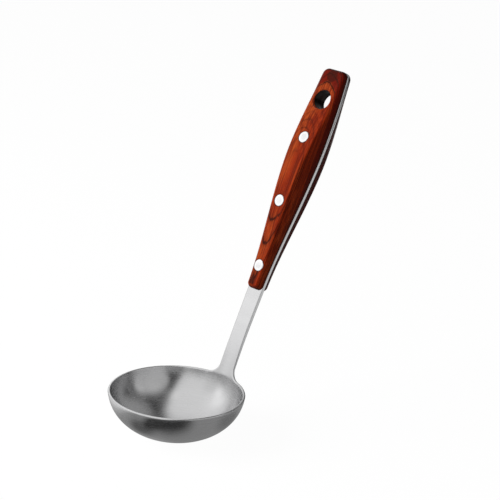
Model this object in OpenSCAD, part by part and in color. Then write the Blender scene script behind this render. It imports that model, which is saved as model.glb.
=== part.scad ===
// Soup ladle: a one-piece steel bowl, neck and full tang, with two riveted wooden scales.
// The rim is level, the handle leans away towards +X, and the model stands on the bowl's lowest point.

/* [Bowl] */
// Outside diameter of the bowl at its rim
bowl_d = 80; // [64:1:110]
// Outside depth of the bowl below its rim
bowl_depth = 26; // [18:0.5:40]
// Fullness of the bowl's outline: 2 is a plain half ellipse, more has a flatter bottom
bowl_fullness = 2.3; // [2:0.05:3]
// Lean of the bowl's wall from upright at its rim
rim_flare = 9; // [0:0.5:14]
// Thickness of the bowl's sheet
bowl_wall = 1.6; // [1:0.1:2.4]

/* [Neck] */
// Width of the neck at its narrowest, just above the bowl
neck_root_w = 10.4; // [8:0.1:14]
// Width of the neck where it enters the wood
neck_top_w = 11.5; // [10:0.1:15]
// Radius of the fillets between the neck and the rim
neck_fillet_r = 7; // [4:0.5:10]
// Radius of the bend that turns the bowl's wall into the neck
root_bend_r = 8; // [6:0.5:14]
// Lean of the neck from upright, just above that bend
root_lean = 21.2; // [16:0.1:24]
// Radius of the neck's long gentle curve
neck_bend_r = 450; // [300:10:600]
// Straight neck between that curve and the wood
neck_straight = 19; // [10:1:40]

/* [Handle] */
// Lean of the handle from upright
handle_lean = 25.6; // [25:0.1:32]
// Length of the wooden scales
wood_len = 139; // [125:1:170]
// Thickness of the tang between the scales
tang_t = 2.2; // [1.6:0.1:2.8]
// Greatest width of the handle
grip_w = 23.8; // [20:0.1:28]
// Distance of the greatest width from the lower end of the wood
grip_w_at = 91; // [70:1:100]
// Width of the handle at its top end
top_w = 18.6; // [16:0.1:22]
// Radius of the handle's corners at its top end
top_corner_r = 4; // [2:0.5:6]
// Radius of the scales' corners at their lower end
low_corner_r = 3.2; // [1:0.1:3.4]
// Handle thickness at the lower end of the wood
low_t = 10.6; // [9.6:0.1:13]
// Greatest thickness of the handle
grip_t = 20.4; // [16:0.1:24]
// Distance of the greatest thickness from the lower end of the wood
grip_t_at = 76; // [60:1:90]
// Handle thickness at the top end
top_t = 7.6; // [7.4:0.1:12]
// Slope of the scales' sides, from square to the tang
side_slope = 26; // [15:1:32]
// Radius of the long edges of the scales, up to their greatest width
edge_r = 1.8; // [0.5:0.1:2.4]
// Radius of the long edges of the scales towards the top end
top_edge_r = 4.4; // [1:0.1:5]
// Radius of the round-over at the lower end of the scales
low_end_r = 2.8; // [1.6:0.1:2.9]
// Radius of the round-over at the top end of the scales
top_end_r = 2; // [1:0.1:2.2]

/* [Rivets and hang hole] */
// Distance of the lower rivet from the lower end of the wood
low_rivet_at = 14; // [10:0.5:20]
// Distance between neighbouring rivets
rivet_pitch = 40.25; // [34:0.25:44]
// Diameter of the rivet heads
rivet_head_d = 6.9; // [6:0.1:8]
// Depth of the rivet heads in the wood
rivet_head_h = 1.6; // [1:0.1:2]
// Outside diameter of the rivet sleeves
rivet_sleeve_d = 4.8; // [4.4:0.1:5.4]
// Diameter of the rivet pins
rivet_pin_d = 3.2; // [2.4:0.1:3.6]
// Clearance around each rivet in the wood and the tang, on the radius
rivet_clearance = 0.05; // [0.02:0.01:0.1]
// Space left at the blind end of each sleeve and at its mouth
rivet_end_gap = 0.4; // [0.2:0.1:0.8]
// Diameter of the hang hole
hang_hole_d = 11.6; // [8:0.1:12]
// Distance of the hang hole's centre from the top end of the wood
hang_hole_from_top = 19.5; // [16:0.5:24]

/* [Hidden] */

steel_colour = [0.75, 0.76, 0.77];
rivet_colour = [0.9, 0.9, 0.9];
wood_colour = [0.55, 0.15, 0.09];

// Fineness of the curved surfaces
bowl_rows = 12;
rim_steps = 54;
flare_half_steps = 5;
fillet_rows = 6;
neck_rows = 6;
lip_steps = 4;
corner_step_angle = 15;
wood_rows = 28;
edge_steps = 5;
round_fn = 64;
// How far a cut passes the surface that it opens
cut_past = 1;

// Plain helpers
function ease(u) = u*u*(3 - 2*u);
function clamp01(u) = min(max(u, 0), 1);
function mix(a, b, u) = a + (b - a)*u;
// How far a rounded corner of radius r draws in at the distance d from the end
function round_in(d, r) = d >= r ? 0 : r - sqrt(r*r - (r - d)*(r - d));
function two_triangles(a, b, c, d) = [[a, b, c], [a, c, d]];

// Bowl
rim_r = bowl_d/2;
wall_mid_r = rim_r - bowl_wall/2;
flare_half_w = neck_root_w/2 + neck_fillet_r;
flare_angle = asin(flare_half_w/wall_mid_r);
flare_cols = 2*flare_half_steps + 1;
rim_step_angle = (360 - 2*flare_angle)/rim_steps;
// Angles around the rim: first the columns under the neck, then the rest of the way round
ring = concat(
    [for (j = [-flare_half_steps : flare_half_steps]) asin(flare_half_w*j/flare_half_steps/wall_mid_r)],
    [for (k = [1 : rim_steps - 1]) flare_angle + k*rim_step_angle]
);
ring_n = len(ring);
function bowl_point(row, angle, r, depth) =
    let (
        dip = 90*row/bowl_rows,
        down = depth*sin(dip)^(2/bowl_fullness),
        out = (r - down*tan(rim_flare))*cos(dip)^(2/bowl_fullness)
    )
    [out*cos(angle), out*sin(angle), -down];

// Handle, in its own frame: x runs up the handle from the lower end of the wood,
// y goes across it and z points out of its front, with the tang's middle at z = 0
function handle_half_w(x) =
    (x < grip_w_at
        ? mix(neck_top_w, grip_w, ease(clamp01(x/grip_w_at)))
        : mix(grip_w, top_w, ((x - grip_w_at)/(wood_len - grip_w_at))^2))/2
    - round_in(wood_len - x, top_corner_r);
function handle_half_t(x) =
    (x < grip_t_at
        ? mix(low_t, grip_t, ease(x/grip_t_at))
        : mix(grip_t, top_t, ease((x - grip_t_at)/(wood_len - grip_t_at))))/2;
function scale_half_w(x) = handle_half_w(x) - round_in(x, low_corner_r);
function long_edge_r(x) = mix(edge_r, top_edge_r, ease(clamp01((x - grip_w_at)/(wood_len - grip_w_at))));
function scale_top(x) = handle_half_t(x) - round_in(x, low_end_r) - round_in(wood_len - x, top_end_r);
low_round = max(low_end_r, low_corner_r);
top_round = max(top_end_r, top_corner_r);
wood_stops = concat(
    [for (a = [0 : corner_step_angle : 90 - corner_step_angle]) low_round*(1 - cos(a))],
    [for (i = [0 : wood_rows]) mix(low_round, wood_len - top_round, i/wood_rows)],
    [for (a = [90 - corner_step_angle : -corner_step_angle : 0]) wood_len - top_round*(1 - cos(a))]
);
wood_last = len(wood_stops) - 1;

// Path of the neck and the tang in the handle's upright plane, as [x, z], by distance from the rim
root_len = root_bend_r*(root_lean - rim_flare)*PI/180;
bend_len = neck_bend_r*(handle_lean - root_lean)*PI/180;
curved_len = root_len + bend_len;
neck_len = curved_len + neck_straight;
function arc_step(r, from, to) = r*[cos(from) - cos(to), sin(to) - sin(from)];
function stem_lean(l) =
    l < root_len
        ? mix(rim_flare, root_lean, l/root_len)
        : mix(root_lean, handle_lean, clamp01((l - root_len)/bend_len));
function stem_path(l) =
    [wall_mid_r, 0]
    + arc_step(root_bend_r, rim_flare, stem_lean(min(l, root_len)))
    + arc_step(neck_bend_r, root_lean, max(stem_lean(l), root_lean))
    + max(l - curved_len, 0)*[sin(handle_lean), cos(handle_lean)];
wood_low = stem_path(neck_len);

// Neck and tang: half the width, the thickness and how far they still follow the round of the rim
function neck_half_w(l) =
    mix(neck_root_w, neck_top_w, clamp01((l - neck_fillet_r)/(neck_len - neck_fillet_r)))/2
    + round_in(l, neck_fillet_r);
function stem_half_w(l) = l < neck_len ? neck_half_w(l) : handle_half_w(l - neck_len);
function stem_t(l) = mix(bowl_wall, tang_t, ease(clamp01(l/curved_len)));
function stem_round(l) = 1 - ease(clamp01(l/curved_len));
stem_stops = concat(
    [for (i = [0 : fillet_rows]) neck_fillet_r*(1 - cos(90*i/fillet_rows))],
    [for (i = [1 : neck_rows]) mix(neck_fillet_r, curved_len, i/neck_rows)],
    [for (x = wood_stops) neck_len + x]
);
stem_last = len(stem_stops) - 1;
// A point of the neck or the tang: side is 1 on the back, -1 on the front
function stem_point(row, col, side) =
    let (
        l = stem_stops[row],
        y = stem_half_w(l)*(col - flare_half_steps)/flare_half_steps,
        turn = stem_round(l)*asin(y/wall_mid_r),
        dip = stem_round(l)*(wall_mid_r - sqrt(wall_mid_r^2 - y^2)),
        lean = stem_lean(l),
        at = stem_path(l),
        out = side*stem_t(l)/2
    )
    [at[0] - dip + out*cos(lean)*cos(turn), y + out*cos(lean)*sin(turn), at[1] - out*sin(lean)];

// Direction in which an edge of the neck faces, in the sheet; hand is 1 on the +Y edge, -1 on the other
function edge_facing(row, hand) =
    let (
        w = row < fillet_rows ? 90*row/fillet_rows : 90,
        lean = stem_lean(stem_stops[row])
    )
    [cos(w)*sin(lean), hand*sin(w), cos(w)*cos(lean)];

// Corner points of the steel, and their places in one list
outer_n = bowl_rows*ring_n;
outer_pole = outer_n;
inner_at = outer_n + 1;
inner_pole = inner_at + outer_n;
back_at = inner_pole + 1;
front_at = back_at + stem_last*flare_cols;
lip_at = front_at + stem_last*flare_cols;
function outer(row, col) = row*ring_n + col % ring_n;
function inner(row, col) = inner_at + outer(row, col);
function back(row, col) = row == 0 ? outer(0, col) : back_at + (row - 1)*flare_cols + col;
function front(row, col) = row == 0 ? inner(0, col) : front_at + (row - 1)*flare_cols + col;
sheet_points = concat(
    [for (row = [0 : bowl_rows - 1], a = ring) bowl_point(row, a, rim_r, bowl_depth)],
    [[0, 0, -bowl_depth]],
    [for (row = [0 : bowl_rows - 1], a = ring)
        bowl_point(row, a, rim_r - bowl_wall, bowl_depth - bowl_wall)],
    [[0, 0, bowl_wall - bowl_depth]],
    [for (row = [1 : stem_last], col = [0 : flare_cols - 1]) stem_point(row, col, 1)],
    [for (row = [1 : stem_last], col = [0 : flare_cols - 1]) stem_point(row, col, -1)]
);
// The free edge of the sheet: down one side of the neck, round the rim and up the other side.
// Each stop is [outer corner, inner corner, direction that the edge faces, how round the edge is].
last_col = flare_cols - 1;
edge = concat(
    [for (row = [stem_last : -1 : 0])
        [back(row, last_col), front(row, last_col), edge_facing(row, 1), stem_round(stem_stops[row])]],
    [for (col = [flare_cols : ring_n - 1]) [outer(0, col), inner(0, col), [0, 0, 1], 1]],
    [for (row = [0 : stem_last])
        [back(row, 0), front(row, 0), edge_facing(row, -1), stem_round(stem_stops[row])]]
);
edge_last = len(edge) - 1;
lip_n = lip_steps - 1;
function lip(stop, k) =
    k == 0 ? edge[stop][0] : k == lip_steps ? edge[stop][1] : lip_at + stop*lip_n + k - 1;
lip_points = [
    for (stop = edge, k = [1 : lip_n])
        let (
            p = sheet_points[stop[0]],
            q = sheet_points[stop[1]],
            w = 180*k/lip_steps
        )
        (p + q)/2 + cos(w)*(p - q)/2 + sin(w)*stop[3]*norm(p - q)/2*stop[2]
];
end_centre = lip_at + len(lip_points);
tang_end = stem_path(neck_len + wood_len);
// Corners round the flat top end of the tang, in order
end_loop = concat(
    [for (col = [0 : last_col]) front(stem_last, col)],
    [for (k = [lip_n : -1 : 1]) lip(0, k)],
    [for (col = [last_col : -1 : 0]) back(stem_last, col)],
    [for (k = [1 : lip_n]) lip(edge_last, k)]
);
bowl_faces = [
    for (row = [0 : bowl_rows - 2], col = [0 : ring_n - 1]) each concat(
        two_triangles(outer(row, col), outer(row, col + 1), outer(row + 1, col + 1), outer(row + 1, col)),
        two_triangles(inner(row, col), inner(row + 1, col), inner(row + 1, col + 1), inner(row, col + 1))
    )
];
pole_faces = [
    for (col = [0 : ring_n - 1]) each [
        [outer(bowl_rows - 1, col), outer(bowl_rows - 1, col + 1), outer_pole],
        [inner(bowl_rows - 1, col + 1), inner(bowl_rows - 1, col), inner_pole]
    ]
];
stem_faces = [
    for (row = [0 : stem_last - 1], col = [0 : last_col - 1]) each concat(
        two_triangles(back(row + 1, col), back(row + 1, col + 1), back(row, col + 1), back(row, col)),
        two_triangles(front(row, col), front(row, col + 1), front(row + 1, col + 1), front(row + 1, col))
    )
];
lip_faces = [
    for (stop = [0 : edge_last - 1], k = [0 : lip_steps - 1])
        each two_triangles(lip(stop, k + 1), lip(stop + 1, k + 1), lip(stop + 1, k), lip(stop, k))
];
end_faces = [
    for (i = [0 : len(end_loop) - 1]) [end_centre, end_loop[i], end_loop[(i + 1) % len(end_loop)]]
];

// Section of a scale across the handle, from the -Y edge on the tang over the front to the +Y edge
seat_z = tang_t/2;
function half_section(x) =
    let (
        w = scale_half_w(x),
        top = scale_top(x),
        flat_w = w - (top - seat_z)*tan(side_slope),
        turn = 90 - side_slope,
        r = min(long_edge_r(x), top - seat_z),
        centre = [flat_w - r*tan(turn/2), top - r]
    )
    concat(
        [[w, seat_z]],
        [for (k = [edge_steps : -1 : 0]) centre + r*[sin(turn*k/edge_steps), cos(turn*k/edge_steps)]]
    );
function full_section(x) =
    let (half = half_section(x), n = len(half))
    concat([for (p = half) [-p[0], p[1]]], [for (i = [n - 1 : -1 : 0]) half[i]]);
section_n = 2*(edge_steps + 2);
scale_points = [for (x = wood_stops, p = full_section(x)) [x, p[0], p[1]]];
function scale_at(row, i) = row*section_n + i % section_n;
scale_faces = concat(
    [for (row = [0 : wood_last - 1], i = [0 : section_n - 1])
        each two_triangles(
            scale_at(row, i), scale_at(row, i + 1), scale_at(row + 1, i + 1), scale_at(row + 1, i))],
    [for (i = [0 : section_n/2 - 2])
        each two_triangles(
            scale_at(0, i), scale_at(0, section_n - 1 - i),
            scale_at(0, section_n - 2 - i), scale_at(0, i + 1))],
    [for (i = [0 : section_n/2 - 2])
        each two_triangles(
            scale_at(wood_last, i), scale_at(wood_last, i + 1),
            scale_at(wood_last, section_n - 2 - i), scale_at(wood_last, section_n - 1 - i))]
);

// Rivets
rivet_at = [for (i = [0 : 2]) low_rivet_at + i*rivet_pitch];
function rivet_seat(x) = handle_half_t(x) - rivet_head_h;
hang_hole_at = wood_len - hang_hole_from_top;

// Place of the whole ladle: the middle of its length over the origin, the bowl's lowest point at z = 0
reach_x = wood_low[0] + max([for (x = wood_stops) x*sin(handle_lean) + scale_top(x)*cos(handle_lean)]);
place = [(rim_r - reach_x)/2, 0, bowl_depth];

module on_handle() {
    translate(place + [wood_low[0], 0, wood_low[1]])
        rotate([0, handle_lean - 90, 0])
            children();
}

// Round stock square to the tang, from z = low to z = high
module across_handle(x, d, low, high) {
    translate([x, 0, low])
        cylinder(d = d, h = high - low, $fn = round_fn);
}

// The steel before it is drilled
module steel_blank() {
    translate(place)
        polyhedron(
            points = concat(sheet_points, lip_points, [[tang_end[0], 0, tang_end[1]]]),
            faces = concat(bowl_faces, pole_faces, stem_faces, lip_faces, end_faces),
            convexity = 6
        );
}

module bowl_and_tang() {
    color(steel_colour)
        difference() {
            steel_blank();
            on_handle() {
                for (x = rivet_at)
                    across_handle(x, rivet_sleeve_d + 2*rivet_clearance, -tang_t, tang_t);
                across_handle(hang_hole_at, hang_hole_d, -tang_t, tang_t);
            }
        }
}

// A scale before it is drilled, on the front of the tang
module scale_blank() {
    polyhedron(points = scale_points, faces = scale_faces, convexity = 4);
}

module drilled_scale() {
    difference() {
        scale_blank();
        for (x = rivet_at) {
            across_handle(x, rivet_sleeve_d + 2*rivet_clearance, 0, grip_t);
            across_handle(x, rivet_head_d + 2*rivet_clearance, rivet_seat(x), grip_t);
        }
        across_handle(hang_hole_at, hang_hole_d, 0, grip_t);
    }
}

module front_scale() {
    color(wood_colour)
        on_handle() drilled_scale();
}

module rear_scale() {
    color(wood_colour)
        on_handle() mirror([0, 0, 1]) drilled_scale();
}

// A rivet head, ground flush with the wood around it
module rivet_head(x) {
    intersection() {
        across_handle(x, rivet_head_d, rivet_seat(x), grip_t);
        scale_blank();
    }
}

// Front half of a rivet: a head on a tube that goes through to the rear head's seat
module rivet_sleeve(x) {
    seat = rivet_seat(x);
    color(rivet_colour)
        on_handle() {
            rivet_head(x);
            difference() {
                across_handle(x, rivet_sleeve_d, rivet_end_gap - seat, seat + rivet_head_h/2);
                across_handle(x, rivet_pin_d, -seat - cut_past, seat - rivet_end_gap);
            }
        }
}

// Rear half of a rivet: a head on a pin that is pressed into the sleeve
module rivet_pin(x) {
    seat = rivet_seat(x);
    color(rivet_colour)
        on_handle() {
            mirror([0, 0, 1]) rivet_head(x);
            across_handle(x, rivet_pin_d, -seat - rivet_head_h/2, seat - 2*rivet_end_gap);
        }
}

module lower_rivet_sleeve() { rivet_sleeve(rivet_at[0]); }
module lower_rivet_pin() { rivet_pin(rivet_at[0]); }
module middle_rivet_sleeve() { rivet_sleeve(rivet_at[1]); }
module middle_rivet_pin() { rivet_pin(rivet_at[1]); }
module upper_rivet_sleeve() { rivet_sleeve(rivet_at[2]); }
module upper_rivet_pin() { rivet_pin(rivet_at[2]); }

bowl_and_tang();
front_scale();
rear_scale();
lower_rivet_sleeve();
lower_rivet_pin();
middle_rivet_sleeve();
middle_rivet_pin();
upper_rivet_sleeve();
upper_rivet_pin();
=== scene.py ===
"""Soup ladle with a brushed steel bowl, neck and tang, two hardwood scales and three two-piece rivets."""

import math

import bpy
import numpy as np
from bpy.props import FloatProperty, FloatVectorProperty, PointerProperty
from bpy.types import Operator, Panel, PropertyGroup
from mathutils import Matrix, Vector


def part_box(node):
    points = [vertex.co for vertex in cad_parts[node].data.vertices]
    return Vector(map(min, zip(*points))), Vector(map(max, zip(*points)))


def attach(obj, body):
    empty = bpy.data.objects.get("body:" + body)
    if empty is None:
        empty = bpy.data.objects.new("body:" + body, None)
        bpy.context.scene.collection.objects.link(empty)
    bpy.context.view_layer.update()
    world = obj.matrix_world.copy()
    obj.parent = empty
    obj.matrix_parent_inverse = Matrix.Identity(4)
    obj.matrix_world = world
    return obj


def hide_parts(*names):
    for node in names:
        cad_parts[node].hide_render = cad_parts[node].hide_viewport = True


bl_info = {
    "name": "Riveted Soup Ladle",
    "version": (1, 0, 0),
    "blender": (4, 5, 0),
    "location": "View3D > Sidebar > Ladle",
    "description": "Dresses the frame of a soup ladle in brushed steel, hardwood and polished rivets",
    "category": "Add Mesh",
}

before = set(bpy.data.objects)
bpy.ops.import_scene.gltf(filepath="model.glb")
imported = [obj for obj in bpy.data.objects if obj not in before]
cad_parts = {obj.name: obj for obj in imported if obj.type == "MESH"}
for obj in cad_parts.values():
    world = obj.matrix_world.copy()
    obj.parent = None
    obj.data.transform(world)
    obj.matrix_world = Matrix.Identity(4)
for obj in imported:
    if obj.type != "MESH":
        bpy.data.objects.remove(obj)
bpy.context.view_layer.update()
STEEL_LOW, STEEL_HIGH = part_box("bowl_and_tang")
BODY = "root"
MM = 0.001
RIVET_NAMES = ("lower", "middle", "upper")

# Fineness of the meshes
FLARE_HALF_COLUMNS = 12
RIM_COLUMNS = 168
BOWL_ROWS = 48
FILLET_ROWS = 16
NECK_ROWS = 20
LIP_STEPS = 10
WOOD_ROWS = 120
CORNER_ROWS = 10
SIDE_STEPS = 12
EDGE_STEPS = 10
FLAT_STEPS = 5
CROWN_STEPS = 8
ROUND_SEGMENTS = 96
TENT_RINGS = 24
TENT_SEGMENTS = 48
SHARP_ANGLE = math.radians(32)
# The middle of a small rounding lies this share of its radius inside the corner
ROUND_MIDDLE = 0.3
# The narrow edges of the neck and the tang, which are ground lengthwise, face this much sideways
NARROW_EDGE_FACING = 0.6

# Noise in the finishes: the bands of its values, then its stretches for each millimetre
NOISE_BAND = (0.3, 0.7)
NARROW_BAND = (0.35, 0.65)
WIDE_BAND = (0.2, 0.8)
SCRATCHES = (0.02, 5.0, 1.0)
STEEL_CLOUD = (0.05, 0.12, 1.0)
TURNING_MARKS = (7.0, 1.0, 1.0)
RIVET_CLOUD = (0.6, 0.6, 0.6)
SWAY = (0.035, 0.16, 0.16)
WOBBLE = (0.16, 0.7, 0.7)
LINE_FADING = (0.03, 0.25, 0.5)
FIBRES = (0.10, 3.2, 3.2)
STREAKS = (0.018, 0.9, 0.9)
PORES = (0.35, 6.0, 6.0)
LIGHT_PATCHES = (0.025, 0.14, 0.14)
# The share by which the light patches grow for each millimetre across the handle towards the side the key
# light falls on, partly the wood's own lighter tone and partly painted light
KEY_SIDE_LIGHTER = 0.02
# Millimetres by which the growth lines sway and wobble
SWAY_HEIGHT = 0.28
WOBBLE_HEIGHT = 0.09

# Millimetres over which a mark fades: heights in the growth layers, then widths on the handle of the
# painted shade on the hang hole's wall, of the ends, darkened partly as end grain and partly as painted
# shade, and of the painted shade beside the tang
BOLD_FROM = (-0.7, -0.3)
BOLD_TO = (2.2, 2.6)
LOWEST_BOLD = (-4.5, -4.1)
OLD_WOOD = (-5.1, -4.7)
DEEP_WOOD = (-8.5, -5.1)
HOLE_SHADE_FADE = (0.05, 0.45)
END_GRAIN_SHADE_FADE = (0.2, 2.2)
SEAM_SHADE_FADE = (0.2, 1.6)
# Width of the painted shade round each rivet head
RIVET_SHADE_W = 0.8
# The shares of a growth line's pitch in which its core and the shade beside it fade
LINE_CORE = (0.03, 0.15)
LINE_SHADE = (0.05, 0.40)
# The shares of a rivet head's diameter between which its duller middle fades
DULL_MIDDLE = (0.22, 0.36)

# What reflections see, with directions and places as right, away and up from the camera.
# A panel has its direction, the angles at which it starts and ends fading, and its brightness.
# A patch of the cloth has its middle, the radii at which it starts and ends fading, and its change.
TENT_R = 0.8
TENT_GREY = 0.03
TENT_LEFT = 0.99
TENT_LEFT_TOWARD = (-0.95, 0.06, 0.33)
TENT_LEFT_EDGE = (0.07, 0.26)
TENT_PANELS = (
    ((0.72, -0.56, 0.38), 29, 37, 0.58),
    ((0.55, -0.34, 0.76), 8, 20, 0.16),
    ((0.12, -0.30, 0.95), 4, 14, 0.18),
    ((0.08, 0.68, 0.73), 4, 16, -0.18),
    ((0.93, 0.02, 0.37), 4, 14, 0.10),
    ((0.80, 0.02, 0.60), 6, 16, 0.24),
    ((0.55, 0.62, 0.56), 10, 28, 0.36),
    ((-0.75, 0.18, 0.63), 6, 24, 0.12),
    ((-0.78, 0.30, 0.56), 4, 16, 0.20),
    ((-0.86, -0.30, 0.42), 6, 20, -0.12),
    ((-0.93, 0.00, 0.385), 4, 12, 0.36),
    ((0.00, 0.95, 0.30), 10, 25, 0.45),
)
CLOTH_HALF_W = 0.5
CLOTH_LIFT = 0.0003
CLOTH_GREY = 0.31
CLOTH_DARKEST = 0.03
CLOTH_PATCHES = (
    ((-0.010, -0.074, 0.0), 0.022, 0.046, -0.29),
    ((-0.030, -0.030, 0.0), 0.006, 0.019, -0.20),
    ((-0.026, -0.052, 0.0), 0.006, 0.020, -0.18),
    ((-0.012, -0.012, 0.0), 0.006, 0.018, 0.12),
    ((0.022, -0.088, 0.0), 0.010, 0.028, -0.14),
    ((0.052, -0.010, 0.0), 0.010, 0.028, -0.10),
    ((-0.130, 0.020, 0.0), 0.050, 0.090, 0.70),
    ((0.320, 0.000, 0.0), 0.120, 0.240, 0.50),
    ((0.250, 0.330, 0.0), 0.130, 0.230, -0.28),
)
FLOOR_HALF_W = 6.0
FLOOR_TONES = (0.54, 0.57)
FLOOR_GLOW = 1.10
FLOOR_GLOW_SHARE = 0.88
KEY_AIM_UP = 0.06
KEY_PLACE = (-1.05, -0.15, 0.50)
KEY_W = 0.9
SENSOR_W = 36.0
WHITE = (1.0, 1.0, 1.0, 1.0)

# Sockets of the colour mix, and the sums of vectors that give a number
MIX_SHARE, MIX_A, MIX_B, MIX_RESULT = 0, 6, 7, 2
NUMBER_SUMS = ("LENGTH", "DISTANCE", "DOT_PRODUCT")


# Properties

def length(name, millimetres, description):
    """A length that is given in millimetres and kept in metres."""
    return FloatProperty(name=name, description=description, default=millimetres*MM, min=0.0, unit="LENGTH")


def angle(name, degrees, description):
    """An angle that is given in degrees and kept in radians."""
    return FloatProperty(name=name, description=description, default=math.radians(degrees), unit="ROTATION")


def number(name, value, description):
    """A plain number."""
    return FloatProperty(name=name, description=description, default=value, min=0.0)


def colour(name, rgb, description):
    """A colour in linear light."""
    return FloatVectorProperty(
        name=name, description=description, default=rgb, size=3, min=0.0, max=1.0, subtype="COLOR"
    )


class LadleSteel(PropertyGroup):
    """Sizes and colour of the bowl, the neck and the tang."""

    bowl_depth: length("Bowl depth", 26.0, "Outside depth of the bowl below its rim")
    bowl_fullness: number("Bowl fullness", 2.3, "2 is a half ellipse, more has a flatter bottom")
    rim_flare: angle("Rim flare", 9.0, "Lean of the bowl's wall from upright at its rim")
    bowl_wall: length("Bowl wall", 1.6, "Thickness of the bowl's sheet")
    neck_root_w: length("Neck root width", 10.4, "Width of the neck just above the bowl")
    neck_top_w: length("Neck top width", 11.5, "Width of the neck where it enters the wood")
    neck_fillet_r: length("Neck fillet", 7.0, "Radius of the fillets between the neck and the rim")
    root_bend_r: length("Root bend", 8.0, "Radius of the bend that turns the wall into the neck")
    root_lean: angle("Root lean", 21.2, "Lean of the neck from upright above the root bend")
    neck_bend_r: length("Neck bend", 450.0, "Radius of the neck's long curve")
    neck_straight: length("Straight neck", 19.0, "Straight neck below the wood")
    handle_lean: angle("Handle lean", 25.6, "Lean of the handle from upright")
    tang_t: length("Tang thickness", 2.2, "Thickness of the tang between the scales")
    edge_round: length("Edge rounding", 0.35, "How far the edges of the neck and the tang are eased")
    colour: colour("Steel", (0.60, 0.60, 0.605), "Colour of the brushed steel")


class LadleWood(PropertyGroup):
    """Sizes and colours of the two scales."""

    length: length("Wood length", 139.0, "Length of the scales")
    grip_w: length("Grip width", 23.8, "Greatest width of the handle")
    grip_w_at: length("Grip width place", 91.0, "Distance of the greatest width from the lower end")
    top_w: length("Top width", 18.6, "Width of the handle at its top end")
    top_corner_r: length("Top corners", 4.0, "Radius of the corners at the top end")
    low_corner_r: length("Lower corners", 3.2, "Radius of the corners at the lower end")
    low_t: length("Lower thickness", 10.6, "Handle thickness at the lower end")
    grip_t: length("Grip thickness", 20.4, "Greatest thickness of the handle")
    grip_t_at: length("Grip thickness place", 76.0, "Distance of the greatest thickness from the lower end")
    top_t: length("Top thickness", 7.6, "Handle thickness at the top end")
    side_slope: angle("Side slope", 26.0, "Slope of the scales' sides from square to the tang")
    side_belly: number("Side belly", 1.45, "1 is a flat side, more is rounder towards the tang")
    edge_r: length("Long edges", 1.8, "Radius of the long edges up to the greatest width")
    top_edge_r: length("Long edges at the top", 4.4, "Radius of the long edges towards the top end")
    low_end_r: length("Lower end rounding", 2.8, "Radius of the round-over at the lower end")
    top_end_r: length("Top end rounding", 2.0, "Radius of the round-over at the top end")
    seam_round: length("Seam rounding", 0.3, "How far the scales' edges are eased beside the tang")
    hole_d: length("Hang hole", 11.6, "Diameter of the hang hole")
    hole_from_top: length("Hang hole place", 19.5, "Distance of the hang hole from the top end")
    hole_round: length("Hang hole rounding", 0.8, "Rounding of the hang hole's edges")
    ring_pitch: length("Ring pitch", 0.955, "Distance between growth lines through the wood")
    ring_start: length("Ring start", 6.78, "Height over the tang of one growth line at the thickest place")
    pith_height: length("Pith height", 34.0, "Height over the tang of the centre of the growth lines")
    pith_side: length("Pith side", 1.2, "Distance of that centre from the middle of the handle")
    pith_tilt: number("Pith tilt", 0.020, "How far the growth layers sink per length of handle")
    pith_dive: number("Pith dive", 0.002, "How fast the growth layers dive near the hang hole")
    light_colour: colour("Light wood", (0.65, 0.100, 0.018), "Colour of the lightest wood")
    warm_colour: colour("Warm wood", (0.45, 0.041, 0.006), "Colour of the redder stretches between")
    old_colour: colour("Old wood", (0.25, 0.010, 0.0012), "Colour of the wood below the lowest bold line")
    deep_colour: colour("Deep wood", (0.13, 0.004, 0.0006), "Colour of the wood beside the tang")
    line_colour: colour("Growth lines", (0.045, 0.004, 0.001), "Colour of the dark growth lines")
    # Painted shade: near-black on the hang hole's wall, in the wood and in the steel, stands in for the
    # shade inside the hole
    hole_shade_colour: colour("Hang hole wall", (0.006, 0.002, 0.001), "Colour of the hang hole's stained wall")


class LadleRivets(PropertyGroup):
    """Sizes and colour of the rivets."""

    first_at: length("First rivet", 14.0, "Distance of the lower rivet from the lower end of the wood")
    pitch: length("Rivet pitch", 40.25, "Distance between neighbouring rivets")
    head_d: length("Head diameter", 6.9, "Diameter of the heads")
    head_h: length("Head depth", 1.6, "Depth of the heads in the wood")
    head_proud: length("Head height", 0.12, "How far the middle of a head stands over the wood")
    head_bevel: length("Head bevel", 0.22, "Bevel around a head")
    sleeve_d: length("Sleeve diameter", 4.8, "Outside diameter of the sleeves")
    pin_d: length("Pin diameter", 3.2, "Diameter of the pins")
    clearance: length("Clearance", 0.05, "Clearance around a rivet, on the radius")
    end_gap: length("End gap", 0.4, "Space at the blind end and at the mouth of a sleeve")
    colour: colour("Rivet", (0.88, 0.88, 0.89), "Colour of the polished rivets")


class LadleStudio(PropertyGroup):
    """Camera and light."""

    azimuth: angle("Camera azimuth", 44.0, "Turn of the view from square to the handle's plane")
    elevation: angle("Camera elevation", 23.265, "Height of the camera over the rim")
    distance: length("Camera distance", 1066.7, "Distance of the camera from the middle of the rim")
    roll: angle("Camera roll", 3.405, "Tilt of the camera about its own line of sight")
    aim_right: length("Aim right", 37.68, "Aim to the right of the rim's middle")
    aim_up: length("Aim up", 89.5, "Aim above the rim's middle")
    focal: length("Focal length", 131.61, "Focal length for a sensor 36 mm wide")
    ambient: number("Ambient", 0.12, "Light from all around on dull surfaces")
    key_power: number("Key light", 13.0, "Power of the large light on the left, in watts")


def settings():
    """The four property groups, in the order steel, wood, rivets, studio."""
    scene = bpy.context.scene
    return scene.ladle_steel, scene.ladle_wood, scene.ladle_rivets, scene.ladle_studio


# Shape of the ladle

def ease(u):
    """A smooth step from 0 to 1."""
    u = np.clip(u, 0.0, 1.0)
    return u*u*(3 - 2*u)


def mix(a, b, u):
    """The value the share u of the way from a to b."""
    return a + (b - a)*u


def round_in(distance, radius):
    """How far a rounded corner draws in at a distance from the end."""
    left = np.clip(radius - distance, 0.0, radius)
    return radius - np.sqrt(radius*radius - left*left)


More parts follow.
